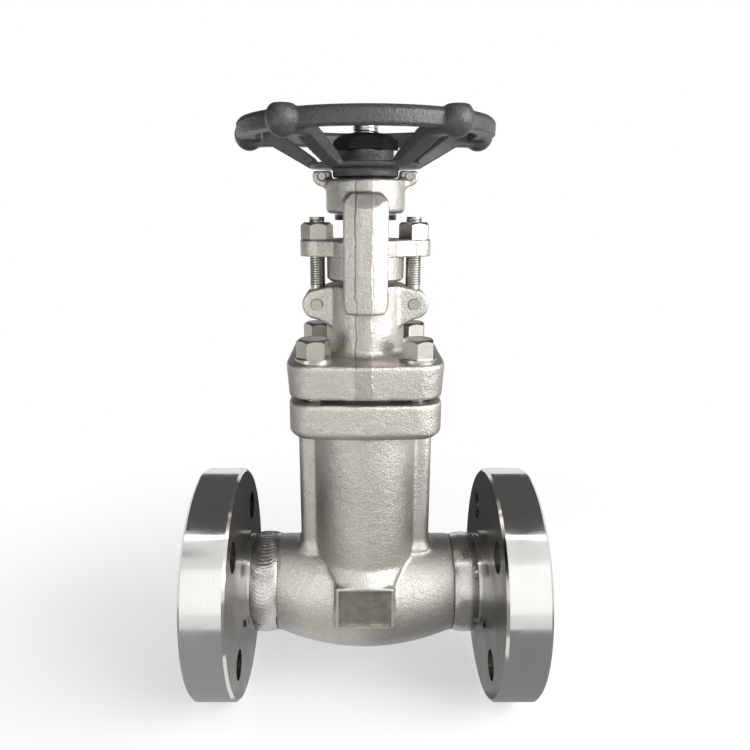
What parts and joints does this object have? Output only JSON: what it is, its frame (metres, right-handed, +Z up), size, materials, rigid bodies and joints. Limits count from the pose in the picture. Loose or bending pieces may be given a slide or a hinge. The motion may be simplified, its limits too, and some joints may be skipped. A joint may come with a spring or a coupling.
{
  "type": "bellows-sealed stop valve",
  "caption": "Flanged forged stainless steel bellows-sealed stop valve with dished handwheel, bolted bonnet and open yoke.",
  "frame": {"origin": "on the pipe axis, in the bolting face of the inlet flange's rim, 2 mm behind its raised face", "axes": "+X from inlet to outlet along the pipe axis, +Z up along the stem"},
  "size_m": [0.203, 0.1442, 0.339],
  "materials": {
    "forged_stainless": "satin",
    "turned_stainless": "satin",
    "weld": "satin",
    "cast_iron_black": "matte",
    "black_oxide": "satin",
    "bolt_stainless": "satin",
    "stem_steel": "satin",
    "brass": "satin",
    "graphite": "matte"
  },
  "bodies": {
    "valve_body": {"body": "forged_stainless", "inlet_flange": "turned_stainless", "outlet_flange": "turned_stainless", "inlet_weld": "weld", "outlet_weld": "weld", "seat_ring": "turned_stainless", "bellows_top_ring": "turned_stainless", "lower_gasket": "graphite", "upper_gasket": "graphite", "bonnet": "forged_stainless", "bonnet_bolts": "bolt_stainless", "bonnet_washers": "bolt_stainless", "stem_key": "stem_steel", "packing_washer": "turned_stainless", "packing_ring_1": "graphite", "packing_ring_2": "graphite", "packing_ring_3": "graphite", "gland": "forged_stainless", "gland_flange": "forged_stainless", "eyebolt_left": "bolt_stainless", "eyebolt_right": "bolt_stainless", "eyebolt_pin_left": "bolt_stainless", "eyebolt_pin_right": "bolt_stainless", "gland_nut_left": "bolt_stainless", "gland_nut_right": "bolt_stainless", "lug_pins": "bolt_stainless", "thrust_washer": "brass"},
    "wheel": {"handwheel": "cast_iron_black", "handwheel_nut": "black_oxide", "yoke_nut": "brass"},
    "spindle": {"stem": "stem_steel", "bellows": "stem_steel", "bellows_bottom_ring": "turned_stainless"},
    "plug": {"disc": "turned_stainless", "disc_nut": "turned_stainless"}
  },
  "joints": [
    {"name": "handwheel_turn", "type": "hinge", "parent": "valve_body", "child": "wheel", "pos_m": [0.0995, 0, 0.2466], "axis": [0, 0, 1], "range_deg": [0, 1080]},
    {"name": "stem_slide", "type": "slide", "parent": "valve_body", "child": "spindle", "axis": [0, 0, 1], "range_m": [0, 0.009], "deforming": ["bellows"]},
    {"name": "disc_swivel", "type": "hinge", "parent": "spindle", "child": "plug", "pos_m": [0.0995, 0, 0.017], "axis": [0, 0, 1], "range_deg": [-180, 180]}
  ],
  "couplings": [
    {"joint": "stem_slide", "follows": "handwheel_turn", "m_per_rad": 0.00047746}
  ]
}
